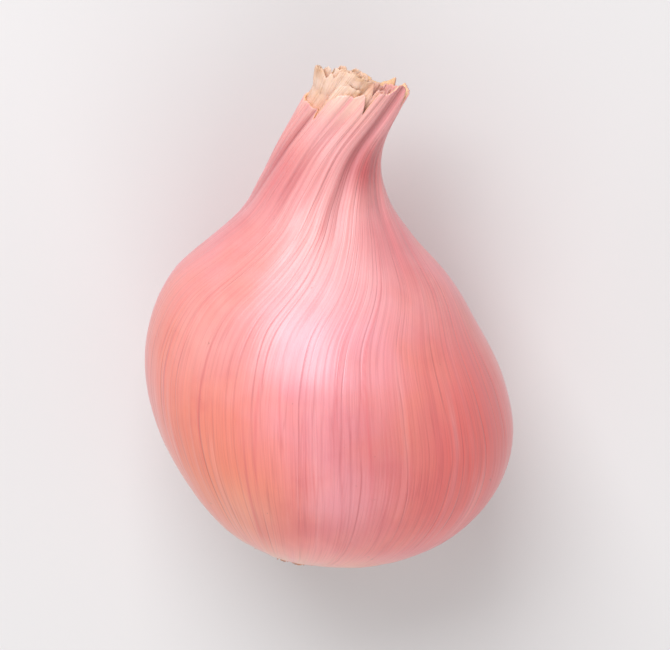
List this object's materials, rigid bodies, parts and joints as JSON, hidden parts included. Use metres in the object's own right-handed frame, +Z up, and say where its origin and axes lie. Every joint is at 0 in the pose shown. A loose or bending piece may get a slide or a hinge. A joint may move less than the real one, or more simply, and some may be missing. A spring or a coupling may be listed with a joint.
{
  "type": "pink shallot",
  "caption": "Teardrop pink shallot bulb lying on its side, with papery skin, a dried and cut neck, and trimmed roots.",
  "frame": {"origin": "below the middle of the whole shallot, on the surface it lies on", "axes": "+Y from the roots to the neck, +Z up, +X to the right with the neck pointing away"},
  "size_m": [0.0406, 0.0546, 0.0369],
  "materials": {
    "skin": "satin",
    "dry_leaf": "matte",
    "root": "matte"
  },
  "bodies": {
    "root": {"bulb": "skin", "neck_leaves": "dry_leaf", "root_tuft": "root"}
  },
  "joints": []
}
